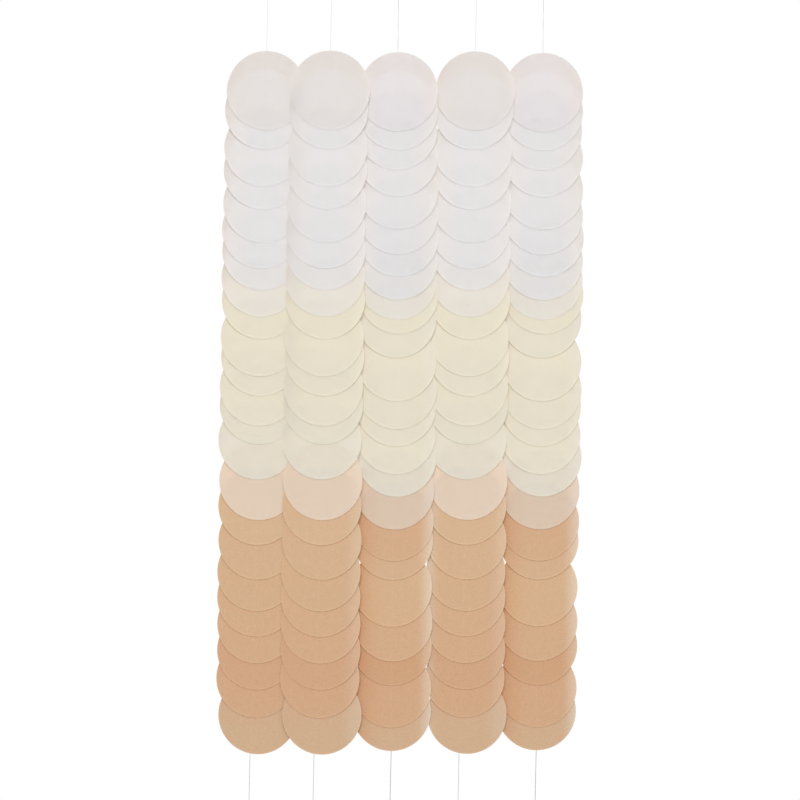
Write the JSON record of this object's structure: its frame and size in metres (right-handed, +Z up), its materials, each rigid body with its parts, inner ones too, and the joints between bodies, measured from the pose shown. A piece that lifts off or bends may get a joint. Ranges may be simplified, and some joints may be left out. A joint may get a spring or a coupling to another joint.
{
  "type": "tissue paper disc backdrop",
  "caption": "Hanging backdrop of sewn tissue paper disc garlands, side by side and overlapping like fish scales, shading from white through cream to nude.",
  "frame": {"origin": "middle of the hanging loop of the third garland from the left", "axes": "+Z up along the garlands, the discs' front faces -Y, +X to the right seen from the front"},
  "size_m": [0.8376, 0.0263, 1.853],
  "materials": {
    "white_tissue": "matte, translucent",
    "cream_tissue": "matte, translucent",
    "peach_tissue": "matte, translucent",
    "nude_tissue": "matte, translucent",
    "thread": "matte"
  },
  "bodies": {
    "root": {"strand_1_cream_discs_1": "cream_tissue", "strand_1_cream_discs_2": "cream_tissue", "strand_1_cream_discs_3": "cream_tissue", "strand_1_nude_discs_1": "nude_tissue", "strand_1_nude_discs_2": "nude_tissue", "strand_1_nude_discs_3": "nude_tissue", "strand_1_peach_discs_1": "peach_tissue", "strand_1_thread": "thread", "strand_1_white_discs_1": "white_tissue", "strand_1_white_discs_2": "white_tissue", "strand_1_white_discs_3": "white_tissue", "strand_1_white_discs_4": "white_tissue", "strand_2_cream_discs_1": "cream_tissue", "strand_2_cream_discs_2": "cream_tissue", "strand_2_cream_discs_3": "cream_tissue", "strand_2_nude_discs_1": "nude_tissue", "strand_2_nude_discs_2": "nude_tissue", "strand_2_nude_discs_3": "nude_tissue", "strand_2_peach_discs_1": "peach_tissue", "strand_2_thread": "thread", "strand_2_white_discs_1": "white_tissue", "strand_2_white_discs_2": "white_tissue", "strand_2_white_discs_3": "white_tissue", "strand_2_white_discs_4": "white_tissue", "strand_3_cream_discs_1": "cream_tissue", "strand_3_cream_discs_2": "cream_tissue", "strand_3_cream_discs_3": "cream_tissue", "strand_3_nude_discs_1": "nude_tissue", "strand_3_nude_discs_2": "nude_tissue", "strand_3_nude_discs_3": "nude_tissue", "strand_3_peach_discs_1": "peach_tissue", "strand_3_thread": "thread", "strand_3_white_discs_1": "white_tissue", "strand_3_white_discs_2": "white_tissue", "strand_3_white_discs_3": "white_tissue", "strand_3_white_discs_4": "white_tissue", "strand_4_cream_discs_1": "cream_tissue", "strand_4_cream_discs_2": "cream_tissue", "strand_4_cream_discs_3": "cream_tissue", "strand_4_nude_discs_1": "nude_tissue", "strand_4_nude_discs_2": "nude_tissue", "strand_4_nude_discs_3": "nude_tissue", "strand_4_peach_discs_1": "peach_tissue", "strand_4_thread": "thread", "strand_4_white_discs_1": "white_tissue", "strand_4_white_discs_2": "white_tissue", "strand_4_white_discs_3": "white_tissue", "strand_4_white_discs_4": "white_tissue", "strand_5_cream_discs_1": "cream_tissue", "strand_5_cream_discs_2": "cream_tissue", "strand_5_cream_discs_3": "cream_tissue", "strand_5_nude_discs_1": "nude_tissue", "strand_5_nude_discs_2": "nude_tissue", "strand_5_nude_discs_3": "nude_tissue", "strand_5_peach_discs_1": "peach_tissue", "strand_5_thread": "thread", "strand_5_white_discs_1": "white_tissue", "strand_5_white_discs_2": "white_tissue", "strand_5_white_discs_3": "white_tissue", "strand_5_white_discs_4": "white_tissue"}
  },
  "joints": []
}
